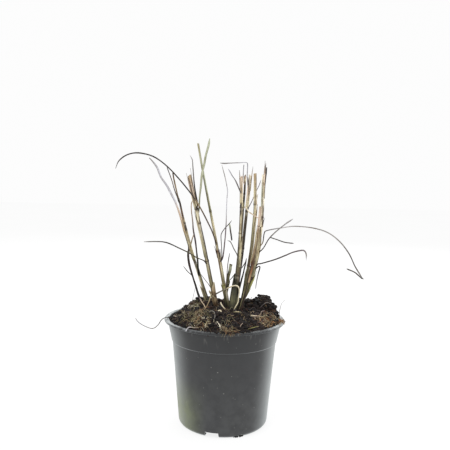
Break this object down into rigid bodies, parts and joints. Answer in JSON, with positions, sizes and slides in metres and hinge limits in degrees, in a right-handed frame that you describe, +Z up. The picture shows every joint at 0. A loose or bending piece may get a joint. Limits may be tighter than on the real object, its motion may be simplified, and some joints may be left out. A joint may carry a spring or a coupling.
{
  "type": "potted miscanthus grass clump",
  "caption": "Cut-back miscanthus grass clump of dry upright culms and thin dead arching leaves, rooted in peat in a tapered dark nursery pot with a rolled lip and foot drainage.",
  "frame": {"origin": "bottom centre of the whole object's box, on the surface that the pot stands on; the pot's own axis is 19.6 mm towards -X from it, because the leaves reach further to the right", "axes": "+Z up along the pot's axis, -Y towards the front, where one drainage slot shows, and +X to the right seen from the front"},
  "size_m": [0.3298, 0.17, 0.4021],
  "materials": {
    "pot_plastic": "thin black-grey recycled nursery plastic, satin, scuffed on its lip and dusted with dried peat",
    "potting_mix": "damp dark brown peat and bark crumb, matted with tan fibre and pale roots",
    "dry_culm": "dry cream to straw-coloured grass culm with brown nodes, olive green and brown towards its foot",
    "dead_leaf": "thin curled dead grass blade, grey-brown to pale grey, dull"
  },
  "bodies": {
    "root": {"nursery_pot": "pot_plastic", "potting_mix": "potting_mix", "culm_far_left": "dry_culm", "culm_left": "dry_culm", "culm_tallest": "dry_culm", "culm_stub": "dry_culm", "culm_middle": "dry_culm", "culm_middle_back": "dry_culm", "culm_back": "dry_culm", "culm_right_front": "dry_culm", "culm_right_short": "dry_culm", "culm_right": "dry_culm", "leaf_arching_left": "dead_leaf", "leaf_low_left": "dead_leaf", "leaf_arching_right": "dead_leaf", "leaf_folded_tip": "dead_leaf", "leaf_low_right": "dead_leaf", "leaf_side_right": "dead_leaf", "leaf_side_fork": "dead_leaf", "leaf_drooping_left": "dead_leaf", "leaf_fork_outer": "dead_leaf", "leaf_fork_inner": "dead_leaf", "leaf_upright_left": "dead_leaf", "sheath_torn_left": "dead_leaf", "leaf_beside_left_culm": "dead_leaf", "leaf_upright_crossing": "dead_leaf", "leaf_bent_middle": "dead_leaf", "leaf_scrap_middle": "dead_leaf", "leaf_pale_middle": "dead_leaf", "leaf_flat_top": "dead_leaf", "leaf_pale_stalk": "dead_leaf", "leaf_pale_diagonal": "dead_leaf", "leaf_short_dark": "dead_leaf", "leaf_scrap_left": "dead_leaf", "leaf_strand_left": "dead_leaf", "leaf_dark_fork": "dead_leaf", "leaf_grey_low": "dead_leaf", "leaf_thin_back": "dead_leaf", "leaf_dark_right": "dead_leaf", "leaf_cross_high": "dead_leaf", "leaf_cross_low": "dead_leaf", "leaf_thin_right": "dead_leaf", "leaf_over_rim": "dead_leaf"}
  },
  "joints": []
}
